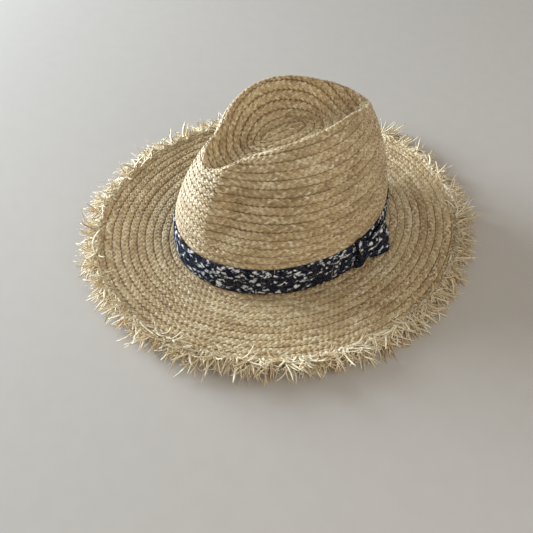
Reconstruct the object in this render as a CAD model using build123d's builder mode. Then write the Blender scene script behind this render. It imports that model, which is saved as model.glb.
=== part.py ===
from build123d import *
import os
from math import cos, degrees, hypot, radians, sin

# A woven raffia sun hat. Millimetres, +Z up, standing on its head opening.
# The front of the crown faces -Y and the band's knot is on the wearer's left, +X.
# Everywhere below, "turn" is the angle round the hat: 0 at +X, 90 degrees at the rear, -90 at the front.

os.makedirs("parts", exist_ok=True)

# ---- the plaited braid ----
row_width = 7.1
braid_thick = 2.4
butt_half = 0.55            # half the height of the edge where two rows meet
bevel = 1.6                 # how far a row's rounded shoulder reaches in from its edge
tip_rows = 8                # turns named as the tip; the rest of the crown is its side
crown_rows = 25
brim_rows = 10

# ---- head opening, measured to the inner face of the straw ----
head_half_length = 101.0
head_half_width = 79.8

# ---- crown ----
crest_height = 130.5        # the highest line, where the wall turns over into the dent
crest_top_y = 8.0           # where along the hat the crest is highest
crest_fall_front = 0.0046   # how fast the crest drops towards the front and the rear
crest_fall_rear = 0.0039
crest_share = 0.485         # the crest's distance from the middle, as a share of the opening's
crest_share_front = 0.175
crest_share_rear = 0.24
crest_lean = 64.0           # degrees of the wall's curve used before it meets the crest
dent_floor = 107.0
dent_top_y = 5.0            # where along the hat the dent's floor is highest
dent_fall_front = 0.0034
dent_fall_rear = 0.0011
dent_steep = 4.0            # how sharply the dent's sides rise to the crest
tip_y = -6.0
tip_half_length = 15.0      # the braid starts along a straight fold this long each way
pinch_depth = 12.0          # the finger pinches either side of the front
pinch_front = -72.0         # degrees: the crease at the pinch's front edge, and how far round it sinks
pinch_sink = 13.0
pinch_rear = 0.0
pinch_at_crest = 0.25       # share of the pinch left at the crest
ridge_round = 4.0           # length over which the crest is rounded

# ---- brim and fringe ----
brim_rise = 8.0             # height of the brim's middle line at its edge
brim_tilt = 0.0155          # the front edge lifts by this much for each millimetre
brim_saddle = 1.9           # the sides droop and the ends lift
fringe_length = 16.0
fringe_thick = 4.5
fringe_droop = 0.2          # fall for each millimetre out

# ---- cloth band, knot and sweatband ----
band_bottom = 3.0
band_top = 34.0
band_tilt = 3.0             # the band's top edge is this much higher at the rear, lower at the front
cloth_thick = 0.9
cloth_gap = 0.1
knot_turn = 16.0
knot_width = 12.0
knot_height = 33.0
knot_depth = 6.5
tail_length = 30.0
tail_height = 28.0
tail_thick = 2.5
sweatband_height = 28.0
sweatband_foot = 0.8
seam_inset = 2.5            # the sweatband's stitching, up from its lower edge
ribbon_thick = 0.8
thread_thick = 0.5
tack_turns = (-150, -90, -30, 60, 110)

half = braid_thick / 2
foot_z = braid_thick        # the crown's lowest row stands on the brim's first row
row_turns = [radians(6 * n) for n in range(-15, 16)]        # where the rows' sections are drawn
cloth_turns = [radians(12 * n - 90) for n in range(16)]     # the same for the cloth and brim thread


def opening(turn):
    """Middle of the straw wall where crown and brim meet."""
    return (head_half_width + half) * cos(turn), (head_half_length + half) * sin(turn)


def crown_line(turn):
    """The vertical plane of the crown at this turn: its point on the centre fold, direction and reach."""
    foot_x, foot_y = opening(turn)
    mid_y = tip_y + tip_half_length * sin(turn)
    reach = hypot(foot_x, foot_y - mid_y)
    return mid_y, (foot_x / reach, (foot_y - mid_y) / reach), reach


def crown_plane(turn):
    mid_y, (dx, dy), reach = crown_line(turn)
    return Plane(origin=(0, mid_y, 0), x_dir=(dx, dy, 0), z_dir=(dy, -dx, 0))


def ease(share):
    share = max(0.0, min(1.0, share))
    return share * share * (3 - 2 * share)


def pinch(turn, rise):
    """Inward push of the two finger pinches: a crease at the front, fading rearwards and at the crest."""
    angle = degrees(turn)
    sunk = ease((angle - pinch_front) / pinch_sink)
    back = ease((pinch_rear - angle) / (pinch_rear - pinch_front - pinch_sink))
    fade = 1 - (1 - pinch_at_crest) * ease((rise - 0.78) / 0.22)
    return pinch_depth * sunk * back * ease((rise - 0.30) / 0.40) * fade


def crown_profile(turn):
    """Distance out and height of the crown's middle line, from the opening over the crest to the tip."""
    mid_y, (dx, dy), reach = crown_line(turn)
    front = sin(turn) < 0
    gain = crest_share_front * sin(turn) ** 12 if front else crest_share_rear * sin(turn) ** 8
    share = crest_share + gain
    crest_y = mid_y + dy * reach * share
    fall = crest_fall_front if crest_y < crest_top_y else crest_fall_rear
    crest_z = crest_height - fall * (crest_y - crest_top_y) ** 2
    last = radians(crest_lean)
    points = []
    steps = 80
    for i in range(steps):
        a = last * i / steps
        lean = (cos(a) ** (4 / 3) - cos(last) ** (4 / 3)) / (1 - cos(last) ** (4 / 3))
        rise = sin(a) / sin(last)
        out = reach * (share + (1 - share) * lean) - pinch(turn, rise)
        points.append((out, foot_z + (crest_z - foot_z) * rise))
    crest_out = reach * share - pinch(turn, 1.0)
    for i in range(steps + 1):
        v = i / steps
        out = crest_out * (1 - v)
        y = mid_y + dy * out
        fall = dent_fall_front if y < dent_top_y else dent_fall_rear
        floor = dent_floor - fall * (y - dent_top_y) ** 2
        points.append((out, floor + (crest_z - floor) * (1 - v) ** dent_steep))
    return smooth(resample(points, 1.0), ridge_round)


def resample(points, step):
    """Points at even steps along a line, both ends kept."""
    lengths = [0.0]
    for (x0, y0), (x1, y1) in zip(points, points[1:]):
        lengths.append(lengths[-1] + hypot(x1 - x0, y1 - y0))
    count = max(2, round(lengths[-1] / step))
    result = []
    k = 0
    for i in range(count + 1):
        want = lengths[-1] * i / count
        while k < len(points) - 2 and lengths[k + 1] < want:
            k += 1
        f = (want - lengths[k]) / (lengths[k + 1] - lengths[k])
        result.append((points[k][0] + f * (points[k + 1][0] - points[k][0]),
                       points[k][1] + f * (points[k + 1][1] - points[k][1])))
    return result


def smooth(points, window):
    """Average each point with its neighbours, over less and less of a window near the ends."""
    reach = round(window / 2)
    result = []
    for i in range(len(points)):
        n = min(reach, i, len(points) - 1 - i)
        near = points[i - n:i + n + 1]
        result.append((sum(p[0] for p in near) / len(near), sum(p[1] for p in near) / len(near)))
    return result


def crown_edges(turn):
    """Where the rows' edges lie: (out, up, normal out, normal up), from the tip's middle to the opening."""
    line = resample(crown_profile(turn), 0.5)
    total = sum(hypot(b[0] - a[0], b[1] - a[1]) for a, b in zip(line, line[1:]))
    step = total / (len(line) - 1)
    spare = total - row_width * crown_rows
    edges = []
    for k in range(crown_rows + 1):
        up = crown_rows - k
        run = row_width * up + spare * (up / crown_rows) ** 3
        i = min(len(line) - 2, max(1, round(run / step)))
        if k == 0:
            edges.append((0.0, line[-1][1], 0.0, 1.0))
            continue
        if k == crown_rows:
            edges.append((line[0][0], line[0][1], 1.0, 0.0))
            continue
        lo, hi = line[max(0, i - 3)], line[min(len(line) - 1, i + 3)]
        tx, tz = hi[0] - lo[0], hi[1] - lo[1]
        size = hypot(tx, tz)
        edges.append((line[i][0], line[i][1], tz / size, -tx / size))
    return edges


def brim_plane(turn):
    """The vertical plane square to the opening's edge, for the brim."""
    x, y = opening(turn)
    nx, ny = x / (head_half_width + half) ** 2, y / (head_half_length + half) ** 2
    size = hypot(nx, ny)
    return Plane(origin=(x, y, 0), x_dir=(nx / size, ny / size, 0), z_dir=(ny / size, -nx / size, 0))


def brim_height(turn, out):
    """Height of the brim's middle line."""
    width = brim_rows * row_width
    edge_y = (head_half_length + width) * sin(turn)
    rise = brim_rise - brim_tilt * edge_y - brim_saddle * cos(2 * turn)
    share = max(0.0, (out - row_width) / (width - row_width))
    return half + (rise - half) * share ** 1.15


def brim_edges(turn):
    edges = []
    for k in range(brim_rows + 1):
        out = row_width * k
        slope = (brim_height(turn, out + 1) - brim_height(turn, out - 1)) / 2 if k > 1 else 0.0
        size = hypot(1, slope)
        edges.append((out, brim_height(turn, out), -slope / size, 1 / size))
    return edges


def row_outline(inner, outer):
    """Eight corners of a flattened braid between two of its edges."""
    (ax, az, anx, anz), (bx, bz, bnx, bnz) = inner, outer
    size = hypot(bx - ax, bz - az)
    ux, uz = (bx - ax) / size, (bz - az) / size
    nx, nz = -uz, ux
    return [
        (ax + butt_half * anx, az + butt_half * anz),
        (ax + bevel * ux + half * nx, az + bevel * uz + half * nz),
        (bx - bevel * ux + half * nx, bz - bevel * uz + half * nz),
        (bx + butt_half * bnx, bz + butt_half * bnz),
        (bx - butt_half * bnx, bz - butt_half * bnz),
        (bx - bevel * ux - half * nx, bz - bevel * uz - half * nz),
        (ax + bevel * ux - half * nx, az + bevel * uz - half * nz),
        (ax - butt_half * anx, az - butt_half * anz),
    ]


def centre_outline(outer):
    """The first row has no inner edge: it closes on the centre fold."""
    bx, bz, bnx, bnz = outer
    return [(0, bz + half), (bx - bevel, bz + half), (bx + butt_half * bnx, bz + butt_half * bnz),
            (bx - butt_half * bnx, bz - butt_half * bnz), (bx - bevel, bz - half), (0, bz - half)]


def thread_outline(edge, side):
    """A thread lying in the groove between two rows, on the hidden side of the straw."""
    x, z, nx, nz = edge
    near, far, wide = butt_half, butt_half + thread_thick, thread_thick / 2
    ux, uz = nz, -nx
    return [(x + side * nx * near - ux * wide, z + side * nz * near - uz * wide),
            (x + side * nx * near + ux * wide, z + side * nz * near + uz * wide),
            (x + side * nx * far + ux * wide, z + side * nz * far + uz * wide),
            (x + side * nx * far - ux * wide, z + side * nz * far - uz * wide)]


def fringe_outline(edge):
    """The fringe's own space: thick in the middle, thin at its free end, drooping a little."""
    x, z, nx, nz = edge
    ux, uz = nz, -nx - fringe_droop
    middle, tip = fringe_length * 0.35, fringe_length
    return [(x + butt_half * nx, z + butt_half * nz),
            (x + middle * ux, z + middle * uz + fringe_thick / 2),
            (x + tip * ux, z + tip * uz + fringe_thick / 3),
            (x + tip * ux, z + tip * uz - fringe_thick / 3),
            (x + middle * ux, z + middle * uz - fringe_thick / 2),
            (x - butt_half * nx, z - butt_half * nz)]


def wall_out(turn, height):
    """Distance out of the wall's middle line at a height."""
    line = crown_profile(turn)
    for (r0, z0), (r1, z1) in zip(line, line[1:]):
        if z1 >= height:
            return r0 + (r1 - r0) * max(0.0, height - z0) / (z1 - z0)
    return line[0][0]


def strip_outline(turn, low, high, inner, outer):
    """A strip of cloth that follows the wall between two heights, at set distances from its middle."""
    heights = [low + (high - low) * i / 4 for i in range(5)]
    back = [(wall_out(turn, z) + inner, z) for z in heights]
    face = [(wall_out(turn, z) + outer, z) for z in reversed(heights)]
    return back + face


def band_edge(turn):
    return band_top + band_tilt * sin(turn)


def band_outline(turn):
    near = half + cloth_gap
    return strip_outline(turn, band_bottom, band_edge(turn), near, near + cloth_thick)


def sweatband_outline(turn):
    near = -half - cloth_gap
    return strip_outline(turn, sweatband_foot, sweatband_foot + sweatband_height, near - ribbon_thick, near)


def sweatband_thread_outline(turn):
    near = -half - cloth_gap - ribbon_thick
    low = sweatband_foot + seam_inset
    return strip_outline(turn, low, low + thread_thick, near - thread_thick, near)


def tack_outline(turn):
    """A stitch from the band's face over its top edge to the straw."""
    top = band_edge(turn)
    face = half + cloth_gap + cloth_thick
    points = [(top - 3, face), (top + 0.2, face), (top + 2.6, half)]
    back = [(wall_out(turn, z) + out, z) for z, out in points]
    front = [(wall_out(turn, z) + out + thread_thick, z + 0.2) for z, out in reversed(points)]
    return back + front


def ring(plane_at, outline_at, turns=row_turns):
    """A closed ring, lofted down one side of the hat and mirrored to the other."""
    with BuildPart() as made:
        for turn in turns:
            with BuildSketch(plane_at(turn)):
                with BuildLine():
                    Polyline(*outline_at(turn), close=True)
                make_face()
        loft()
        mirror(about=Plane.YZ)
    return made


def keep(made, name):
    made.part.label = name
    export_step(made.part, f"parts/{name}.step")


crown_at = {turn: crown_edges(turn) for turn in row_turns}
brim_at = {turn: brim_edges(turn) for turn in row_turns + cloth_turns}

# ---- crown rows ----
centre = ring(crown_plane, lambda turn: centre_outline(crown_at[turn][1]))
keep(centre, "crown_tip_centre")

for k in range(1, crown_rows):
    row = ring(crown_plane, lambda turn: row_outline(crown_at[turn][k], crown_at[turn][k + 1]))
    keep(row, f"crown_tip_row_{k:02d}" if k < tip_rows else f"crown_side_row_{k + 1 - tip_rows:02d}")

# ---- brim rows ----
with BuildPart() as first_row:
    with BuildSketch():
        Ellipse(head_half_width + half + row_width, head_half_length + half + row_width)
        Ellipse(head_half_width, head_half_length, mode=Mode.SUBTRACT)
    extrude(amount=braid_thick)
    rim = first_row.edges().group_by(SortBy.LENGTH)[-1]
    chamfer(rim, half - butt_half)
keep(first_row, "brim_row_01")

for k in range(1, brim_rows):
    row = ring(brim_plane, lambda turn: row_outline(brim_at[turn][k], brim_at[turn][k + 1]))
    keep(row, f"brim_row_{k + 1:02d}")

fringe = ring(brim_plane, lambda turn: fringe_outline(brim_at[turn][brim_rows]))
keep(fringe, "brim_fringe")

# ---- sewing thread in the grooves between rows, on the hidden side ----
crown_loops = [ring(crown_plane, lambda turn: thread_outline(crown_at[turn][k], -1)).part
               for k in range(1, crown_rows)]
with BuildPart() as crown_thread:
    add(crown_loops)
keep(crown_thread, "crown_row_thread")

brim_loops = [ring(brim_plane, lambda turn: thread_outline(brim_at[turn][k], -1), cloth_turns).part
              for k in range(1, brim_rows)]
with BuildPart() as brim_thread:
    add(brim_loops)
keep(brim_thread, "brim_row_thread")

# ---- cloth band, its tacks, the sweatband and its seam ----
band = ring(crown_plane, band_outline, cloth_turns)
keep(band, "hat_band")

sweatband = ring(crown_plane, sweatband_outline, cloth_turns)
keep(sweatband, "sweatband")

sweatband_thread = ring(crown_plane, sweatband_thread_outline, cloth_turns)
keep(sweatband_thread, "sweatband_thread")

with BuildPart() as tacks:
    for angle in tack_turns:
        turn = radians(angle)
        with BuildSketch(crown_plane(turn)):
            with BuildLine():
                Polyline(*tack_outline(turn), close=True)
            make_face()
        extrude(amount=thread_thick / 2, both=True)
keep(tacks, "band_tacks")

# ---- the knot and the tail of the band beside it ----
knot_at = radians(knot_turn)
knot_line = crown_plane(knot_at)
knot_out = wall_out(knot_at, band_bottom) + half + cloth_gap + cloth_thick
knot_foot = knot_line.origin + knot_line.x_dir * knot_out
side = brim_plane(knot_at).x_dir
knot_middle = (knot_foot.X, knot_foot.Y, band_bottom + knot_height / 2)
knot_plane = Plane(origin=knot_middle, x_dir=(-side.Y, side.X, 0), z_dir=side)

with BuildPart() as knot:
    with BuildSketch(knot_plane):
        RectangleRounded(knot_width, knot_height, knot_width * 0.4)
    extrude(amount=knot_depth)
    fillet(knot.faces().sort_by(Axis(knot_plane.origin, knot_plane.z_dir))[-1].edges(), knot_depth * 0.35)
keep(knot, "band_knot")

with BuildPart() as tail:
    start = knot_width / 2 + cloth_gap
    with BuildSketch(knot_plane):
        with BuildLine():
            Polyline((start, -5), (start, 9), (start + tail_length * 0.7, tail_height / 2),
                     (start + tail_length, tail_height * 0.1), (start + tail_length * 0.75, -tail_height / 2),
                     close=True)
        make_face()
    extrude(amount=tail_thick)
keep(tail, "band_tail")
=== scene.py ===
import math

import bpy
import numpy as np
from mathutils import Matrix, Vector


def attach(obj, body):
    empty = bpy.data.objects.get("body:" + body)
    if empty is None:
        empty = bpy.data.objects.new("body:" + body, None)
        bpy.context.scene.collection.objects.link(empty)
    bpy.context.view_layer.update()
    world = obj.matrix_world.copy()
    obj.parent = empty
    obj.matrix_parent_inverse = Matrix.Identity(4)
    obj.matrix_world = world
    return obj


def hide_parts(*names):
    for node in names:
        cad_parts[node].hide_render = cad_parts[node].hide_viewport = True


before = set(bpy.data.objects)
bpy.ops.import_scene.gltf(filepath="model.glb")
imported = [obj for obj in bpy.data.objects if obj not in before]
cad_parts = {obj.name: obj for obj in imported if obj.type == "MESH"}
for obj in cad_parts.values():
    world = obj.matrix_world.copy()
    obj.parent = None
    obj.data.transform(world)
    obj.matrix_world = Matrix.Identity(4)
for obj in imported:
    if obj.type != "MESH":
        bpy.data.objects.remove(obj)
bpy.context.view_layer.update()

# Lengths in this script are millimetres until a mesh is made, and METRE turns them into metres.
# The lights and the floor are placed in metres. A "turn" is the angle round the hat: 0 at +X, the
# wearer's left, and three quarters of TURN at -Y, the front.
METRE = 0.001
TURN = 2 * math.pi
TURN_STEPS = 720
rng = np.random.default_rng(57)

# ---- the braid and the hat's shape, as the design has them ----
ROW_WIDTH = 7.1
BRAID_THICK = 2.4
HALF = BRAID_THICK / 2
CROWN_ROWS = 25
TIP_ROWS = 8
BRIM_ROWS = 10
HEAD_HALF_LENGTH = 101.0
HEAD_HALF_WIDTH = 79.8
CREST_HEIGHT = 130.5
CREST_TOP_Y = 8.0           # where along the hat the crest is highest
CREST_FALL_FRONT = 0.0046   # how fast the crest drops towards the front and the rear
CREST_FALL_REAR = 0.0039
CREST_SHARE = 0.485         # the crest's distance from the middle, as a share of the opening's
CREST_SHARE_FRONT = 0.175
CREST_SHARE_REAR = 0.24
CREST_LEAN = 64.0           # degrees of the wall's curve used before it meets the crest
DENT_FLOOR = 107.0
DENT_TOP_Y = 5.0            # where along the hat the dent's floor is highest
DENT_FALL_FRONT = 0.0034
DENT_FALL_REAR = 0.0011
DENT_STEEP = 4.0            # how sharply the dent's sides rise to the crest
TIP_Y = -6.0
TIP_HALF_LENGTH = 15.0
PINCH_DEPTH = 12.0
PINCH_FRONT = -72.0         # degrees: the crease at the pinch's front edge
PINCH_SINK = 13.0           # degrees over which it sinks to its full depth
PINCH_REAR = 0.0            # degrees: where it has faded out
PINCH_AT_CREST = 0.25       # share of the pinch left at the crest
RIDGE_ROUND = 4             # points over which the crest is rounded
PROFILE_STEPS = 80
WALL_CURVE = 4 / 3          # how squarely the wall's curve leans in
CROWN_STEP = 0.2            # rows between the points of the crown's surface
BRIM_RISE = 8.0
BRIM_TILT = 0.0155          # the front edge lifts by this much for each millimetre
BRIM_SADDLE = 1.9           # the sides droop and the ends lift
BRIM_CURVE = 1.15
BRIM_STEP = 0.5             # the same on the brim
FRINGE_LENGTH = 16.0
BAND_BOTTOM = 3.0
BAND_TOP = 34.0
BAND_TILT = 3.0             # the band's top edge is this much higher at the rear, lower at the front
BAND_BACK = HALF + 0.15     # off the braid's middle
BAND_FACE = HALF + 1.1
CLOTH_THICK = 0.9
KNOT_TURN = 16.0
SWEATBAND_FOOT = 0.9
SWEATBAND_TOP = 28.6

# ---- the camera: where it stands round the hat, and how it is turned ----
CAMERA_AZIMUTH = 56.16      # degrees from the front, towards the wearer's left
CAMERA_HEIGHT = 46.14       # degrees above the floor
CAMERA_FAR = 541.66
CAMERA_ROLL = 3.68
LENS = 38.2816
SENSOR = 36
AIM_RIGHT = 0.027153        # how far the opening's middle lies off the lens's axis, for each unit ahead
AIM_UP = 0.078902


def aim_camera():
    """A camera that sees the middle of the head opening a little to the right of its axis and above it."""
    az, el, roll = (math.radians(a) for a in (CAMERA_AZIMUTH, CAMERA_HEIGHT, CAMERA_ROLL))
    back = Vector((math.sin(az) * math.cos(el), -math.cos(az) * math.cos(el), math.sin(el)))
    right = Vector((math.cos(az), math.sin(az), 0))
    up = back.cross(right)
    side = right * math.cos(roll) + up * math.sin(roll)
    top = up * math.cos(roll) - right * math.sin(roll)
    place = back * CAMERA_FAR * METRE
    aim = Vector((AIM_RIGHT, AIM_UP, -1)).normalized()
    pan = Vector((0, 0, -1)).rotation_difference(aim).to_matrix()
    axes = Matrix((side, top, back)).transposed() @ pan.transposed()
    data = bpy.data.cameras.new("camera")
    data.sensor_width = SENSOR
    data.lens = LENS
    data.clip_start = 0.01
    camera = bpy.data.objects.new("camera", data)
    camera.matrix_world = Matrix.Translation(place) @ axes.to_4x4()
    bpy.context.collection.objects.link(camera)
    bpy.context.scene.camera = camera


# ---------------------------------------------------------------- the hat's surface

def round_turns(count):
    """Turns at even steps all the way round."""
    return np.arange(count) * TURN / count


def opening(turn):
    """Middle of the straw wall where crown and brim meet."""
    return (HEAD_HALF_WIDTH + HALF) * np.cos(turn), (HEAD_HALF_LENGTH + HALF) * np.sin(turn)


def crown_line(turn):
    """Fold point, direction and reach of the crown's vertical plane at each turn."""
    foot_x, foot_y = opening(turn)
    mid_y = TIP_Y + TIP_HALF_LENGTH * np.sin(turn)
    reach = np.hypot(foot_x, foot_y - mid_y)
    return mid_y, foot_x / reach, (foot_y - mid_y) / reach, reach


def mirrored(turn):
    """The same turn on the +X side of the hat."""
    return np.arctan2(np.sin(turn), np.abs(np.cos(turn)))


def ease(share):
    share = np.clip(share, 0, 1)
    return share * share * (3 - 2 * share)


def pinch(turn, rise):
    """Inward push of the two finger pinches: a crease at the front, fading rearwards and at the crest."""
    angle = np.degrees(mirrored(turn))
    sunk = ease((angle - PINCH_FRONT) / PINCH_SINK)
    back = ease((PINCH_REAR - angle) / (PINCH_REAR - PINCH_FRONT - PINCH_SINK))
    fade = 1 - (1 - PINCH_AT_CREST) * ease((rise - 0.78) / 0.22)
    return PINCH_DEPTH * sunk * back * ease((rise - 0.30) / 0.40) * fade


def line_lengths(out, up):
    """The length of a line up to each of its points."""
    return np.concatenate([[0], np.cumsum(np.hypot(np.diff(out), np.diff(up)))])


def resample(out, up):
    """The same line with points about a millimetre apart."""
    length = line_lengths(out, up)
    want = np.linspace(0, length[-1], max(3, round(length[-1]) + 1))
    return np.interp(want, length, out), np.interp(want, length, up)


def smooth(line, window):
    """Average each value with its neighbours, over less and less of a window near the ends."""
    total = np.concatenate([[0], np.cumsum(line)])
    i = np.arange(len(line))
    n = np.minimum(round(window / 2), np.minimum(i, len(line) - 1 - i))
    return (total[i + n + 1] - total[i - n]) / (2 * n + 1)


def crown_profile(turn):
    """Distance out and height of the crown's middle line at one turn, from the opening to the tip."""
    mid_y, _, dy, reach = crown_line(turn)
    share = CREST_SHARE
    if math.sin(turn) < 0:
        share += CREST_SHARE_FRONT * math.sin(turn) ** 12
    else:
        share += CREST_SHARE_REAR * math.sin(turn) ** 8
    crest_y = mid_y + dy * reach * share
    fall = CREST_FALL_FRONT if crest_y < CREST_TOP_Y else CREST_FALL_REAR
    crest = CREST_HEIGHT - fall * (crest_y - CREST_TOP_Y) ** 2
    last = math.radians(CREST_LEAN)
    a = np.linspace(0, last, PROFILE_STEPS + 1)[:-1]
    least = math.cos(last) ** WALL_CURVE
    lean = (np.cos(a) ** WALL_CURVE - least) / (1 - least)
    rise = np.sin(a) / math.sin(last)
    wall_out = reach * (share + (1 - share) * lean) - pinch(turn, rise)
    wall_up = BRAID_THICK + (crest - BRAID_THICK) * rise
    v = np.linspace(0, 1, PROFILE_STEPS + 1)
    dent_out = (reach * share - pinch(turn, 1.0)) * (1 - v)
    dent_y = mid_y + dy * dent_out
    fall = np.where(dent_y < DENT_TOP_Y, DENT_FALL_FRONT, DENT_FALL_REAR)
    ground = DENT_FLOOR - fall * (dent_y - DENT_TOP_Y) ** 2
    dent_up = ground + (crest - ground) * (1 - v) ** DENT_STEEP
    out, up = resample(np.concatenate([wall_out, dent_out]), np.concatenate([wall_up, dent_up]))
    return smooth(out, RIDGE_ROUND), smooth(up, RIDGE_ROUND)


def brim_height(turn, out):
    """Height of the brim's middle line, by the distance out from the opening."""
    width = BRIM_ROWS * ROW_WIDTH
    edge_y = (HEAD_HALF_LENGTH + width) * np.sin(turn)
    rise = BRIM_RISE - BRIM_TILT * edge_y - BRIM_SADDLE * np.cos(2 * turn)
    share = np.clip((out - ROW_WIDTH) / (width - ROW_WIDTH), 0, None)
    return HALF + (rise - HALF) * share ** BRIM_CURVE


class Surface:
    """A sheet of points over turn (round the hat) and row (counted in rows), read with even blending."""

    def __init__(self, points, first_row, step):
        self.points = points
        self.first_row = first_row
        self.step = step
        along = np.roll(points, -1, 0) - np.roll(points, 1, 0)
        across = np.gradient(points, axis=1)
        normal = np.cross(across, along)
        self.normals = normal / np.maximum(np.linalg.norm(normal, axis=2, keepdims=True), 1e-9)

    def read(self, grid, turn, row):
        turns, rows = grid.shape[:2]
        t = (turn / TURN % 1.0) * turns
        r = np.clip((row - self.first_row) / self.step, 0, rows - 1.001)
        i, j = np.floor(t).astype(int), np.floor(r).astype(int)
        f, g = (t - i)[..., None], (r - j)[..., None]
        i, k = i % turns, (i + 1) % turns
        near = grid[i, j] * (1 - g) + grid[i, j + 1] * g
        far = grid[k, j] * (1 - g) + grid[k, j + 1] * g
        return near * (1 - f) + far * f

    def at(self, turn, row, lift):
        """Places at a turn and row, raised off the sheet by lift."""
        normal = self.read(self.normals, turn, row)
        normal /= np.maximum(np.linalg.norm(normal, axis=-1, keepdims=True), 1e-9)
        return self.read(self.points, turn, row) + normal * np.asarray(lift)[..., None]


def crown_surface():
    """Rows are counted from the tip's middle, 0, to the opening, CROWN_ROWS."""
    rows = np.arange(0, CROWN_ROWS + CROWN_STEP / 2, CROWN_STEP)
    turns = round_turns(TURN_STEPS)
    points = np.zeros((len(turns), len(rows), 3))
    for i, turn in enumerate(turns):
        mid_y, dx, dy, _ = crown_line(turn)
        out, up = crown_profile(turn)
        length = line_lengths(out, up)
        climbed = CROWN_ROWS - rows
        spare = length[-1] - ROW_WIDTH * CROWN_ROWS
        run = ROW_WIDTH * climbed + spare * (climbed / CROWN_ROWS) ** 3
        r, z = np.interp(run, length, out), np.interp(run, length, up)
        points[i] = np.stack([dx * r, mid_y + dy * r, z], 1)
    return Surface(points, 0, CROWN_STEP)


def brim_surface():
    """Rows are counted from the opening, 0, outwards; the sheet runs on past the last row for the fringe."""
    rows = np.arange(-BRIM_STEP, BRIM_ROWS + 4, BRIM_STEP)
    turns = round_turns(TURN_STEPS)
    x, y = opening(turns)
    nx, ny = x / (HEAD_HALF_WIDTH + HALF) ** 2, y / (HEAD_HALF_LENGTH + HALF) ** 2
    size = np.hypot(nx, ny)
    out = rows[None] * ROW_WIDTH
    points = np.stack([x[:, None] + (nx / size)[:, None] * out, y[:, None] + (ny / size)[:, None] * out,
                       brim_height(turns[:, None], out)], 2)
    return Surface(points, rows[0], BRIM_STEP)


# ---------------------------------------------------------------- mesh making

def make_mesh(name, points, faces, **marks):
    """A smooth piece from places in millimetres; the marks are numbers at each corner for its material."""
    mesh = bpy.data.meshes.new(name)
    mesh.vertices.add(len(points))
    mesh.vertices.foreach_set("co", (np.asarray(points) * METRE).astype(np.float32).ravel())
    faces = np.asarray(faces)
    mesh.loops.add(faces.size)
    mesh.loops.foreach_set("vertex_index", faces.astype(np.int32).ravel())
    mesh.polygons.add(len(faces))
    mesh.polygons.foreach_set("loop_start", np.arange(0, faces.size, faces.shape[1], dtype=np.int32))
    mesh.polygons.foreach_set("use_smooth", np.ones(len(faces), bool))
    mesh.update(calc_edges=True)
    for label, values in marks.items():
        layer = mesh.attributes.new(label, "FLOAT", "POINT")
        layer.data.foreach_set("value", np.asarray(values, np.float32).ravel())
    piece = bpy.data.objects.new(name, mesh)
    bpy.context.collection.objects.link(piece)
    return piece


def tube_faces(count, sides, closed):
    """Quads round a run of rings, each ring having `sides` corners."""
    last = count if closed else count - 1
    i, j = np.meshgrid(np.arange(last), np.arange(sides), indexing="ij")
    k, m = (i + 1) % count, (j + 1) % sides
    return np.stack([i * sides + j, i * sides + m, k * sides + m, k * sides + j], -1).reshape(-1, 4)


def finish_with(piece, material):
    piece.data.materials.clear()
    piece.data.materials.append(material)


def dress(piece, material, node):
    """The piece takes the node's place."""
    finish_with(piece, material)
    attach(piece, "root")
    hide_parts(node)


# ---------------------------------------------------------------- materials

class Value:
    """A node's output; arithmetic on it adds Math nodes."""

    def __init__(self, nodes, socket):
        self.nodes = nodes
        self.socket = socket

    def math(self, operation, *parts):
        return self.nodes.add("ShaderNodeMath", {"operation": operation}, dict(enumerate(parts)))

    def __add__(self, other):
        return self.math("ADD", self, other)

    def __radd__(self, other):
        return self.math("ADD", other, self)

    def __sub__(self, other):
        return self.math("SUBTRACT", self, other)

    def __rsub__(self, other):
        return self.math("SUBTRACT", other, self)

    def __mul__(self, other):
        return self.math("MULTIPLY", self, other)

    def __rmul__(self, other):
        return self.math("MULTIPLY", other, self)

    def __pow__(self, other):
        return self.math("POWER", self, other)

    def sine(self):
        return self.math("SINE", self)

    def at_least(self, other):
        return self.math("MAXIMUM", self, other)

    def over(self, low, high):
        """0 below low, 1 above high, and a straight slope between."""
        return self.nodes.add("ShaderNodeMapRange", {"clamp": True},
                              {"Value": self, "From Min": low, "From Max": high})


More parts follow.
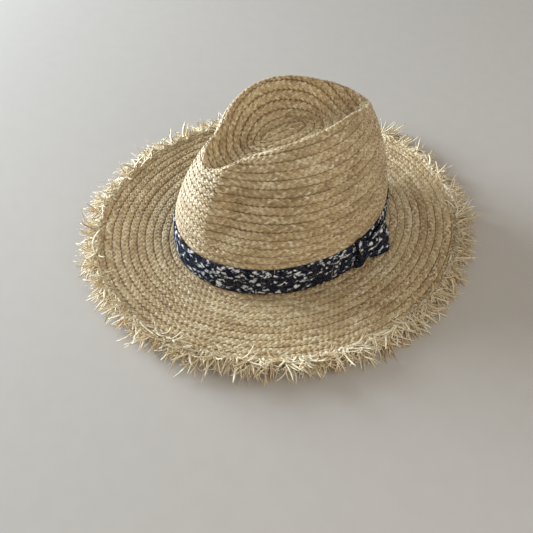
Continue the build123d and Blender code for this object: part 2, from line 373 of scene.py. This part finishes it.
class Nodes:
    """One material's node tree."""

    def __init__(self, name):
        self.material = bpy.data.materials.new(name)
        self.material.use_nodes = True
        self.tree = self.material.node_tree
        self.shader = self.tree.nodes["Principled BSDF"]

    def add(self, kind, settings, inputs, output=0):
        node = self.tree.nodes.new(kind)
        for key, value in settings.items():
            if key == "stops":
                self.set_stops(node.color_ramp, value)
            else:
                setattr(node, key, value)
        for key, value in inputs.items():
            self.put(node.inputs[key], value)
        return Value(self, node.outputs[output])

    def set_stops(self, ramp, stops):
        while len(ramp.elements) < len(stops):
            ramp.elements.new(0.5)
        for element, (place, colour) in zip(ramp.elements, stops):
            element.position = place
            element.color = (*colour, 1)

    def put(self, socket, value):
        if isinstance(value, Value):
            self.tree.links.new(value.socket, socket)
        else:
            socket.default_value = value

    def mark(self, name):
        """A number kept at each corner of the mesh."""
        return self.add("ShaderNodeAttribute", {"attribute_name": name}, {}, "Fac")

    def vector(self, x, y, z):
        return self.add("ShaderNodeCombineXYZ", {}, {0: x, 1: y, 2: z})

    def place(self):
        """Where the point is in the hat, in metres."""
        return self.add("ShaderNodeTexCoord", {}, {}, "Object")

    def noise(self, vector, scale=1.0, detail=2.0, rough=0.5):
        return self.add("ShaderNodeTexNoise", {}, {"Vector": vector, "Scale": scale, "Detail": detail,
                                                   "Roughness": rough})

    def ramp(self, value, stops):
        return self.add("ShaderNodeValToRGB", {"stops": stops}, {"Fac": value})

    def blend(self, share, first, second, mode="MIX"):
        return self.add("ShaderNodeMix", {"data_type": "RGBA", "blend_type": mode},
                        {0: share, 6: first, 7: second}, 2)

    def bump(self, height, strength, distance, below=None):
        inputs = {"Height": height, "Strength": strength, "Distance": distance}
        if below is not None:
            inputs["Normal"] = below
        return self.add("ShaderNodeBump", {}, inputs)

    def finish(self, **sockets):
        for key, value in sockets.items():
            self.put(self.shader.inputs[key.replace("_", " ")], value)
        return self.material


# the edge tint darkens strand edges: partly painted shade where a strand goes under the next one, partly
# wear
EDGE_SHADE_AND_WEAR_TINT = (0.50, 0.34, 0.20, 1)
FLECK_BROWN = (0.16, 0.085, 0.035, 1)
DAB_GREY = (0.58, 0.61, 0.68, 1)
DAB_WHITE = (1.0, 0.99, 0.98, 1)
CLOTH_BLACK = (0.0015, 0.0015, 0.003, 1)
CLOTH_NAVY = (0.004, 0.008, 0.026, 1)
CLOTH_THREAD = 0.45         # from one thread of the cloth to the next
RIBBON_DARK = (0.42, 0.33, 0.22, 1)
RIBBON_PALE = (0.62, 0.52, 0.38, 1)
RIB = 0.8                   # from one rib of the ribbon to the next


def straw(name, stops, rough):
    """Raffia: each strand has its own shade, with long fibres and a few brown flecks, and its edges darkened
    by painted shade and wear.
    """
    n = Nodes(name)
    tone, along, across = n.mark("tone"), n.mark("along"), n.mark("across")
    fibre = n.noise(n.vector(along * 0.10, across * 2.0, tone * 31), detail=3.0, rough=0.6)
    thread = n.noise(n.vector(along * 0.35, across * 6.5, tone * 17), detail=2.0)
    cloud = n.noise(n.place(), scale=22.0, detail=2.0)
    shade = tone * 0.68 + fibre * 0.60 + thread * 0.35 + cloud * 0.25 - 0.415
    colour = n.ramp(shade, stops)
    # painted shade and wear: darker towards a strand's edges, where it goes under the next one
    edge = (across ** 2.0).over(0.30, 1.1) * 0.70
    colour = n.blend(edge, colour, EDGE_SHADE_AND_WEAR_TINT, "MULTIPLY")
    fleck = n.noise(n.vector(along * 0.8, across * 1.5, tone * 53), detail=1.0).over(0.71, 0.76) * 0.6
    colour = n.blend(fleck, colour, FLECK_BROWN)
    height = thread * 0.6 + fibre * 0.4
    return n.finish(Base_Color=colour, Roughness=rough + fibre * 0.25,
                    Normal=n.bump(height, 0.6, 0.00035), Specular_IOR_Level=0.9,
                    Sheen_Weight=0.25, Sheen_Roughness=0.4)


WOVEN_STOPS = [(0.05, (0.21, 0.12, 0.045)), (0.30, (0.42, 0.275, 0.12)), (0.55, (0.61, 0.45, 0.225)),
               (0.75, (0.79, 0.635, 0.375)), (0.95, (0.96, 0.88, 0.69))]
LOOSE_STOPS = [(0.12, (0.57, 0.37, 0.18)), (0.42, (0.89, 0.67, 0.37)), (0.78, (1.0, 0.87, 0.59))]


def printed_cloth(name, dabs=0.105):
    """Navy cotton with scattered pale dabs; run and rise are places along and up the strip."""
    n = Nodes(name)
    run, rise = n.mark("run"), n.mark("rise")
    drift = n.noise(n.vector(run * 0.22, rise * 0.22, 3.0), detail=3.0, rough=0.6)
    drift_up = n.noise(n.vector(run * 0.22, rise * 0.22, 9.0), detail=3.0, rough=0.6)
    x, y = run + (drift - 0.5) * 10, rise + (drift_up - 0.5) * 10
    cells = n.add("ShaderNodeTexVoronoi", {}, {"Vector": n.vector(x * 0.19, y * 0.31, 0.0), "Scale": 1.0})
    ragged = n.noise(n.vector(run * 0.9, rise * 1.2, 5.0), detail=2.0, rough=0.6)
    dab = (ragged * 0.50 - cells + dabs).over(0.0, 0.03)
    veins = n.noise(n.vector(x * 0.45, y * 0.9, 14.0), detail=2.0)
    fine = ((veins - 0.5) ** 2.0 * -1.0 + 0.0003).over(0.0, 0.0002)
    navy = n.noise(n.vector(run * 0.02, 0.0, 25.0), detail=1.0)
    pale = n.blend(n.noise(n.vector(run * 0.12, rise * 0.12, 1.0)).over(0.35, 0.65), DAB_GREY, DAB_WHITE)
    colour = n.blend(dab.at_least(fine * 0.2), n.blend(navy, CLOTH_BLACK, CLOTH_NAVY), pale)
    warp = (run * (TURN / CLOTH_THREAD)).sine()
    weft = (rise * (TURN / CLOTH_THREAD)).sine()
    return n.finish(Base_Color=colour, Roughness=0.85, Normal=n.bump(warp * weft, 0.25, 0.0001),
                    Specular_IOR_Level=0.03)


def ribbon(name):
    """Grosgrain: fine ribs across the strip."""
    n = Nodes(name)
    run, rise = n.mark("run"), n.mark("rise")
    rib = (run * (TURN / RIB)).sine()
    cloud = n.noise(n.vector(run * 0.05, rise * 0.1, 0.0), detail=2.0)
    # the rib's colour follows its relief: painted shade in the furrows and painted light on the crests
    colour = n.blend(rib * 0.15 + 0.5 + (cloud - 0.5) * 0.4, RIBBON_DARK, RIBBON_PALE)
    return n.finish(Base_Color=colour, Roughness=0.7, Normal=n.bump(rib, 0.4, 0.0002), Sheen_Weight=0.1)


def plain_thread(name):
    n = Nodes(name)
    cloud = n.noise(n.place(), scale=900.0, detail=2.0)
    colour = n.ramp(cloud, [(0.3, (0.30, 0.20, 0.10)), (0.7, (0.62, 0.48, 0.30))])
    return n.finish(Base_Color=colour, Roughness=0.7, Normal=n.bump(cloud, 0.4, 0.0001))


def floor_finish(name):
    n = Nodes(name)
    cloud = n.noise(n.place(), scale=60.0, detail=4.0)
    colour = n.blend(cloud, (0.565, 0.523, 0.472, 1), (0.605, 0.563, 0.512, 1))
    return n.finish(Base_Color=colour, Roughness=0.9)


# ---------------------------------------------------------------- the braid

STRANDS = 5
PLAIT_PERIOD = 23.0
STRAND_WIDE = 2.6
STRAND_THICK = 0.95
CROSS_LIFT = 0.50           # how far strands part where they cross
ROW_CROWN = 0.25            # the row's middle stands this much above its edges
STEPS_PER_PERIOD = 16
ROW_OVERLAP = 1.06
ROW_SWAY = 0.012            # in rows
MIDDLE_STEPS = 400
TONE_PATCH = 9              # a strand keeps about the same shade for this long
STRAND_SHIFT = 100          # along a strand's fibres, so that no two strands look alike
# corners of a strand's section: across it, from -1 to 1, and up, in strand thicknesses
STRAND_RING = [(-1, 0.0), (-0.55, 0.5), (0.55, 0.5), (1, 0.0), (0.55, -0.5), (-0.55, -0.5)]
# the same for the inner strand, in rows and in millimetres
INNER_RING = [(-0.5, -0.2), (-0.5, 0.2), (0.5, 0.2), (0.5, -0.2)]
ROUNDED = 0.97              # of a triangle wave; 1 would leave its corners sharp


def zigzag(phase):
    """A triangle wave with rounded corners, from -1 to 1."""
    return np.arcsin(np.sin(phase) * ROUNDED) / math.asin(ROUNDED)


def plait(name, surface, row):
    """One turn of the braid: strands woven over and under each other between two row edges."""
    turns = round_turns(MIDDLE_STEPS)
    middle = surface.at(turns, np.full(MIDDLE_STEPS, row + 0.5), np.zeros(MIDDLE_STEPS))
    run = np.concatenate([[0], np.cumsum(np.linalg.norm(np.roll(middle, -1, 0) - middle, axis=1))])
    periods = max(2, round(run[-1] / PLAIT_PERIOD))
    count = periods * STEPS_PER_PERIOD
    at = np.arange(count) / count
    turn = np.interp(at * run[-1], run, np.append(turns, TURN))
    verts, faces, tones, sides, lengths = [], [], [], [], []
    wander = rng.uniform(0, TURN, 6)
    # the inner strand's dark tone is painted shade for the gaps under the strands and between rows
    groove_painted_shade = rng.uniform(-0.1, 0.25)
    sway = ROW_SWAY * np.sin(7 * at * TURN + wander[0]) + ROW_SWAY * np.sin(17 * at * TURN + wander[1])
    for n in range(STRANDS):
        phase = at * periods * TURN + TURN * n / STRANDS
        loose = 1 + 0.05 * np.sin(3 * at * TURN + wander[n]) + 0.04 * np.sin(11 * at * TURN + wander[n - 1])
        reach = (ROW_WIDTH * ROW_OVERLAP - STRAND_WIDE) / 2 / ROW_WIDTH * loose
        centre = reach * zigzag(phase)
        lift = CROSS_LIFT * np.sin((STRANDS - 1) * phase) + ROW_CROWN * (1 - (centre / reach.max()) ** 2)
        slope = np.gradient(centre * ROW_WIDTH) / (run[-1] / count)
        wide = STRAND_WIDE * (1 + 0.10 * np.sin(5 * at * TURN + wander[n - 2]))
        # the strand's width lies square to its own run: across the row and back along it
        lean = np.arctan(slope)
        across = wide / 2 * np.cos(lean) / ROW_WIDTH
        along = -wide / 2 * np.sin(lean) * (TURN / run[-1])
        points = np.stack([
            surface.at(turn + along * u, row + 0.5 + sway + centre + across * u, lift + v * STRAND_THICK)
            for u, v in STRAND_RING], 1)
        faces.append(tube_faces(count, len(STRAND_RING), True) + sum(len(p) for p in verts))
        verts.append(points.reshape(-1, 3))
        shade = rng.uniform(-0.5, 0.5)
        spots = rng.uniform(-0.5, 0.5, max(8, int(run[-1] / TONE_PATCH)))
        patch = np.interp(at * len(spots), np.arange(len(spots) + 1), np.append(spots, spots[0]))
        tones.append(np.repeat(0.52 + 0.35 * shade + 0.75 * patch, len(STRAND_RING)))
        sides.append(np.tile([u for u, _ in STRAND_RING], count))
        lengths.append(np.repeat(at * run[-1] + STRAND_SHIFT * n, len(STRAND_RING)))
    # a flat inner strand fills the gaps between the crossings; its dark tone is painted shade in those gaps
    # and in the groove between rows
    points = np.stack([surface.at(turn, row + 0.5 + sway + u, np.full(count, v)) for u, v in INNER_RING], 1)
    corners = len(INNER_RING)
    faces.append(tube_faces(count, corners, True) + sum(len(p) for p in verts))
    verts.append(points.reshape(-1, 3))
    tones.append(np.full(corners * count, groove_painted_shade))
    sides.append(np.tile([u for u, _ in INNER_RING], count))
    lengths.append(np.repeat(at * run[-1], corners))
    return make_mesh(name, np.concatenate(verts), np.concatenate(faces), tone=np.concatenate(tones),
                     across=np.concatenate(sides), along=np.concatenate(lengths))


FRINGE_STRANDS = 3800
FRINGE_TUFTS = 170
FRINGE_RINGS = 7            # sections along a strand
FRINGE_THICK = 0.26
LONGEST = 1.25              # the longest ends, as a share of the fringe's length
ON_TOP = 0.40               # share of the strands that start on top of the last row
MOST_LEAN = 1.40            # radians off the straight way out
RUFFLED_AT = 315            # degrees: the wearer's front left is the most ruffled
RUFFLED_WIDE = 38
FLOOR_GAP = 0.2             # no strand goes lower than this


def fringe_strands(surface):
    """Raffia ends left long: flat tapering strands in leaning tufts, some flicked up."""
    count, rings, tufts = FRINGE_STRANDS, FRINGE_RINGS, FRINGE_TUFTS
    at = np.sort(rng.uniform(0, TURN, count))
    # the strands of one tuft lean together
    lean_of = rng.normal(0, 0.65, tufts)
    lift_of = rng.normal(0, 1.0, tufts)
    long_of = rng.uniform(0.70, 1.15, tufts)
    tuft = (at / TURN * tufts + rng.normal(0, 0.35, count)).astype(int) % tufts
    # some start on top of the last row and are broad, with painted light making them paler; the rest start
    # inside or under it
    on_top = rng.uniform(0, 1, count) < ON_TOP
    lean = lean_of[tuft] + rng.normal(0, 0.45, count)
    lean += np.where(on_top, rng.choice([-0.45, 0.45], count), 0.0)
    lean = np.clip(lean, -MOST_LEAN, MOST_LEAN)
    length = FRINGE_LENGTH * LONGEST * long_of[tuft] * rng.uniform(0.55, 1.10, count)
    ruffled = np.exp(-((np.degrees(at) - RUFFLED_AT) / RUFFLED_WIDE) ** 2)
    flick = np.where(rng.uniform(0, 1, count) < 0.10 + 0.35 * ruffled, rng.uniform(2, 8, count), 0.0)
    rise = 1.4 * lift_of[tuft] + rng.normal(0, 1.6, count) - 1.6 + flick
    curl = rng.normal(0, 0.95, count)
    wide = rng.uniform(0.5, 2.1, count) * np.where(on_top, 1.35, 1.0)
    twist = rng.normal(0, 0.6, count)
    level = np.where(on_top, rng.uniform(1.1, 1.8, count), rng.uniform(-0.9, 0.6, count))
    start_row = BRIM_ROWS - np.where(on_top, rng.uniform(0.05, 0.55, count), 0.25)
    edge = surface.at(at, start_row, level)
    out = surface.at(at, np.full(count, BRIM_ROWS + 1.0), level) - edge
    out[:, 2] = 0
    out /= np.linalg.norm(out, axis=1, keepdims=True)
    side = np.stack([-out[:, 1], out[:, 0], np.zeros(count)], 1)
    verts, sides, lengths = [], [], []
    for i in range(rings):
        s = i / (rings - 1)
        angle = lean + curl * s
        heading = out * np.cos(angle)[:, None] + side * np.sin(angle)[:, None]
        start = edge if i == 0 else start + heading * (length / (rings - 1))[:, None]
        middle = start.copy()
        height = edge[:, 2] + rise * s + (rise - 1.0) * s * s * 0.8
        middle[:, 2] = np.maximum(0.35 + 0.4 * (level + 1), height)
        flat = np.cross(heading, [0, 0, 1.0])
        turn = twist * (0.4 + s)
        across = flat * np.cos(turn)[:, None] + np.array([0, 0, 1.0]) * np.sin(turn)[:, None]
        over = np.cross(across, heading)
        half_wide = (wide / 2 * (1 - 0.6 * s ** 3))[:, None]
        half_thick = FRINGE_THICK / 2 * (1 - 0.5 * s)
        ring = [middle - across * half_wide, middle + over * half_thick, middle + across * half_wide,
                middle - over * half_thick]
        verts.append(np.stack(ring, 1))
        sides.append(np.tile([-1.0, 0.0, 1.0, 0.0], (count, 1)))
        lengths.append(np.repeat((length * s)[:, None], 4, 1))
    points = np.stack(verts, 1)                       # strand, ring, corner
    points[..., 2] = np.maximum(points[..., 2], FLOOR_GAP)
    faces = tube_faces(rings, 4, False)
    caps = np.array([[3, 2, 1, 0], [(rings - 1) * 4 + c for c in range(4)]])
    one = np.concatenate([faces, caps])
    every = (one[None] + (np.arange(count) * rings * 4)[:, None, None]).reshape(-1, 4)
    # painted light: raised tufts, strands on top of the last row and the ruffled front left are made paler,
    # as if catching more light; the rest is random tone
    shade = rng.normal(0.54, 0.25, count) + 0.12 * lift_of[tuft] + 0.26 * on_top + 0.10 * ruffled
    shade = np.clip(shade, 0, 1)
    tone = np.repeat(shade, rings * 4)
    return make_mesh("brim_fringe_strands", points.reshape(-1, 3), every, tone=tone,
                     across=np.stack(sides, 1).ravel(), along=np.stack(lengths, 1).ravel() + tone * 300)


# ---------------------------------------------------------------- cloth band and sweatband

WALL_HEIGHT = 46
WALL_PART = 60              # the part of the profile that is read, well below the crest


def wall_surface():
    """The crown's wall near its foot: row is the height in millimetres."""
    heights = np.arange(0, WALL_HEIGHT)
    turns = round_turns(TURN_STEPS)
    points = np.zeros((len(turns), len(heights), 3))
    for i, turn in enumerate(turns):
        mid_y, dx, dy, _ = crown_line(turn)
        out, up = crown_profile(turn)
        top = int(np.argmax(up > WALL_PART))
        r = np.interp(heights, up[:top], out[:top])
        points[i] = np.stack([dx * r, mid_y + dy * r, heights], 1)
    surface = Surface(points, 0, 1)
    surface.normals = -surface.normals
    return surface


def strip(name, surface, low, high, inner, outer, levels=14, wave=0.0, creases=0.0):
    """A closed ribbon round the wall, with slightly wandering edges and soft creases, and its length."""
    count = TURN_STEPS
    turn = round_turns(count)
    knots = rng.uniform(0, TURN, 8)
    wander = wave * (np.sin(5 * turn + knots[0]) + 0.6 * np.sin(11 * turn + knots[1]))
    wander_up = wave * (np.sin(4 * turn + knots[2]) + 0.6 * np.sin(9 * turn + knots[3]))
    bottom, top = low(turn) + wander, high(turn) + wander_up
    share = np.linspace(0, 1, levels)
    ring, rises = [], []
    for v in share:
        height = bottom + (top - bottom) * v
        puff = creases * (0.6 * np.sin(TURN * (1.7 * v) + 2.2 * np.sin(3 * turn + knots[4]))
                          + 0.4 * np.sin(TURN * (3.1 * v) + 3 * np.sin(2 * turn + knots[5])))
        edge = 1 - (2 * v - 1) ** 8
        ring.append(surface.at(turn, height, (outer + puff) * edge + (inner + outer) / 2 * (1 - edge)))
        rises.append(height)
    for v in share[::-1]:
        height = bottom + (top - bottom) * v
        ring.append(surface.at(turn, height, np.full(count, inner)))
        rises.append(height)
    points = np.stack(ring, 1)
    sides = points.shape[1]
    perimeter = np.linalg.norm(np.roll(points[:, 3], -1, 0) - points[:, 3], axis=1).cumsum()
    piece = make_mesh(name, points.reshape(-1, 3), tube_faces(count, sides, True),
                      run=np.repeat(np.concatenate([[0], perimeter[:-1]]), sides),
                      rise=np.stack(rises, 1).ravel())
    return piece, perimeter[-1]


KNOT_HALF_WIDTH = 6.0
KNOT_HEIGHT = 33.0
KNOT_DEPTH = 7.0
TAIL_LENGTH = 30.0
TAIL_HEIGHT = 28.0
# how far the tail's end reaches at five heights from its lower to its upper edge, as shares of its length
TAIL_END = [0.66, 0.80, 0.88, 0.90, 0.78]
TAIL_END_AT = [0, 0.12, 0.3, 0.7, 1]


def on_band(surface, run, height, lift):
    """Places on the band's face: millimetres round from the knot, up, and off the cloth."""
    turn = math.radians(KNOT_TURN) + run / math.dist((0, 0), opening(math.radians(KNOT_TURN)))
    return surface.at(turn, height, BAND_FACE + lift)


def knot_cloth(surface):
    """The loop of cloth wrapped over the band's overlap, gathered into slanting folds."""
    levels, sides = 48, 40
    v, around = np.meshgrid(np.linspace(0, 1, levels), np.arange(sides) / sides * TURN, indexing="ij")
    end = np.clip(1 - np.abs(2 * v - 1) ** 5, 0.0, 1) ** 0.5
    fold = 1 + 0.09 * np.sin(3 * around + 9 * v) + 0.05 * np.sin(5 * around - 14 * v + 1)
    waist = 0.80 + 0.20 * np.cos(TURN * v)
    run = KNOT_HALF_WIDTH * waist * end * fold * np.cos(around) + 1.2 * np.sin(4 * v)
    depth = KNOT_DEPTH * end * fold * np.clip(np.sin(around) * 0.62 + 0.38, 0, 1)
    height = 3.6 + (KNOT_HEIGHT + 0.5) * v
    points = on_band(surface, run, height, depth)
    return make_mesh("band_knot_cloth", points.reshape(-1, 3), tube_faces(levels, sides, False),
                     run=(run + depth * 1.3).ravel() + 90, rise=(height * 0.7).ravel() + 40)


def tail_cloth(surface):
    """The band's free end: a fan of cloth that flares from the knot in soft pleats, and its area."""
    pleats, lengths = 60, 36
    p, s = np.meshgrid(np.linspace(0, 1, pleats), np.linspace(0, 1, lengths), indexing="ij")
    foot_run, foot_up = KNOT_HALF_WIDTH - 3.0, -10.5 + 21 * p
    end_run = KNOT_HALF_WIDTH + np.interp(p, TAIL_END_AT, TAIL_END) * TAIL_LENGTH
    end_up = np.interp(p, [0, 0.5, 1], [-0.56, -0.06, 0.50]) * TAIL_HEIGHT
    run = foot_run + (end_run - foot_run) * s
    up = foot_up + (end_up - foot_up) * s
    height = BAND_BOTTOM + KNOT_HEIGHT / 2 + up
    lift = 1.6 + (1 - 0.7 * p) * (2.6 * np.sin(math.pi * np.clip(s * 0.8, 0, 1)) + 2.0 * s * s)
    lift += 7.0 * (1 - p) ** 1.5 * s ** 1.5
    lift += (0.8 - 0.2 * s) * np.sin(TURN * 2.1 * p + 1.2 * s) * np.clip(4 * s, 0, 1)
    marks = {"run": np.tile((run + 140).ravel(), 2), "rise": np.tile((height + 70).ravel(), 2)}
    face = on_band(surface, run, height, lift + CLOTH_THICK / 2)
    back = on_band(surface, run, height, lift - CLOTH_THICK / 2)
    points = np.concatenate([face.reshape(-1, 3), back.reshape(-1, 3)])
    i, j = np.meshgrid(np.arange(pleats - 1), np.arange(lengths - 1), indexing="ij")
    a = (i * lengths + j).ravel()
    top = np.stack([a, a + 1, a + lengths + 1, a + lengths], 1)
    # the corners round the sheet's outline, which its edge joins
    rim = list(range(lengths)) + [n * lengths + lengths - 1 for n in range(1, pleats)]
    rim += [(pleats - 1) * lengths + n for n in range(lengths - 2, -1, -1)]
    rim += [n * lengths for n in range(pleats - 2, 0, -1)]
    rim = np.array(rim)
    after, below = np.roll(rim, -1), pleats * lengths
    edge = np.stack([rim, rim + below, after + below, after], 1)
    piece = make_mesh("band_tail_cloth", points, np.concatenate([top, top[:, ::-1] + below, edge]), **marks)
    wide, tall = np.diff(face, axis=1), np.diff(face, axis=0)
    area = np.linalg.norm(np.cross(wide[:-1], tall[:, :-1]), axis=2).sum()
    return piece, area


# ---------------------------------------------------------------- the hat

aim_camera()
crown = crown_surface()
brim = brim_surface()
wall = wall_surface()

woven_straw = straw("woven straw", WOVEN_STOPS, 0.40)
loose_straw = straw("loose straw", LOOSE_STOPS, 0.42)
cloth = printed_cloth("printed cloth")
knot_print = printed_cloth("printed cloth, mostly ground", dabs=-0.06)
grosgrain = ribbon("ribbon")
thread = plain_thread("sewing thread")


def row_name(k):
    if k == 0:
        return "crown_tip_centre"
    return f"crown_tip_row_{k:02d}" if k < TIP_ROWS else f"crown_side_row_{k + 1 - TIP_ROWS:02d}"


for k in range(CROWN_ROWS):
    dress(plait(row_name(k) + "_plait", crown, k), woven_straw, row_name(k))
for k in range(BRIM_ROWS):
    node = f"brim_row_{k + 1:02d}"
    dress(plait(node + "_plait", brim, k), woven_straw, node)
dress(fringe_strands(brim), loose_straw, "brim_fringe")

band, band_length = strip("hat_band_cloth", wall, lambda t: BAND_BOTTOM + 0 * t,
                          lambda t: BAND_TOP + BAND_TILT * np.sin(t), BAND_BACK, BAND_FACE,
                          wave=0.35, creases=0.35)
dress(band, cloth, "hat_band")
band_length * METRE
sweat, sweat_length = strip("sweatband_ribbon", wall, lambda t: SWEATBAND_FOOT + 0 * t,
                            lambda t: SWEATBAND_TOP + 0 * t, -HALF - 0.15, -HALF - 0.85, levels=8)
dress(sweat, grosgrain, "sweatband")
sweat_length * METRE

for node in ("crown_row_thread", "brim_row_thread", "sweatband_thread", "band_tacks"):
    finish_with(bpy.data.objects[node], thread)

knot = knot_cloth(wall)
dress(knot, knot_print, "band_knot")
tail, tail_area = tail_cloth(wall)
dress(tail, cloth, "band_tail")

# ---------------------------------------------------------------- floor and light
FLOOR_HALF = 12

floor_mesh = bpy.data.meshes.new("floor")
floor_corners = [(x * FLOOR_HALF, y * FLOOR_HALF, 0) for x, y in ((-1, -1), (1, -1), (1, 1), (-1, 1))]
floor_mesh.from_pydata(floor_corners, [], [(0, 1, 2, 3)])
floor = bpy.data.objects.new("floor", floor_mesh)
floor.data.materials.append(floor_finish("pale floor"))
bpy.context.collection.objects.link(floor)


def lamp(name, place, target, size, power, colour):
    data = bpy.data.lights.new(name, "AREA")
    data.shape = "DISK"
    data.size = size
    data.energy = power
    data.color = colour
    light = bpy.data.objects.new(name, data)
    light.location = place
    light.rotation_euler = (Vector(target) - Vector(place)).to_track_quat("-Z", "Y").to_euler()
    bpy.context.collection.objects.link(light)


lamp("window light", (-1.40, -1.10, 0.34), (0, 0, 0.07), 1.2, 90, (0.77, 0.885, 1.0))
lamp("room light", (1.5, 0.3, 0.95), (0, 0, 0.05), 1.4, 8, (1.0, 0.94, 0.86))
lamp("ceiling light", (0.3, 0.3, 1.9), (0, 0, 0), 1.8, 3, (1.0, 0.97, 0.92))

world = bpy.data.worlds.new("room")
world.use_nodes = True
background = world.node_tree.nodes["Background"]
background.inputs["Color"].default_value = (0.95, 0.92, 0.87, 1)
background.inputs["Strength"].default_value = 0.32
bpy.context.scene.world = world
bpy.context.scene.view_settings.view_transform = "Standard"
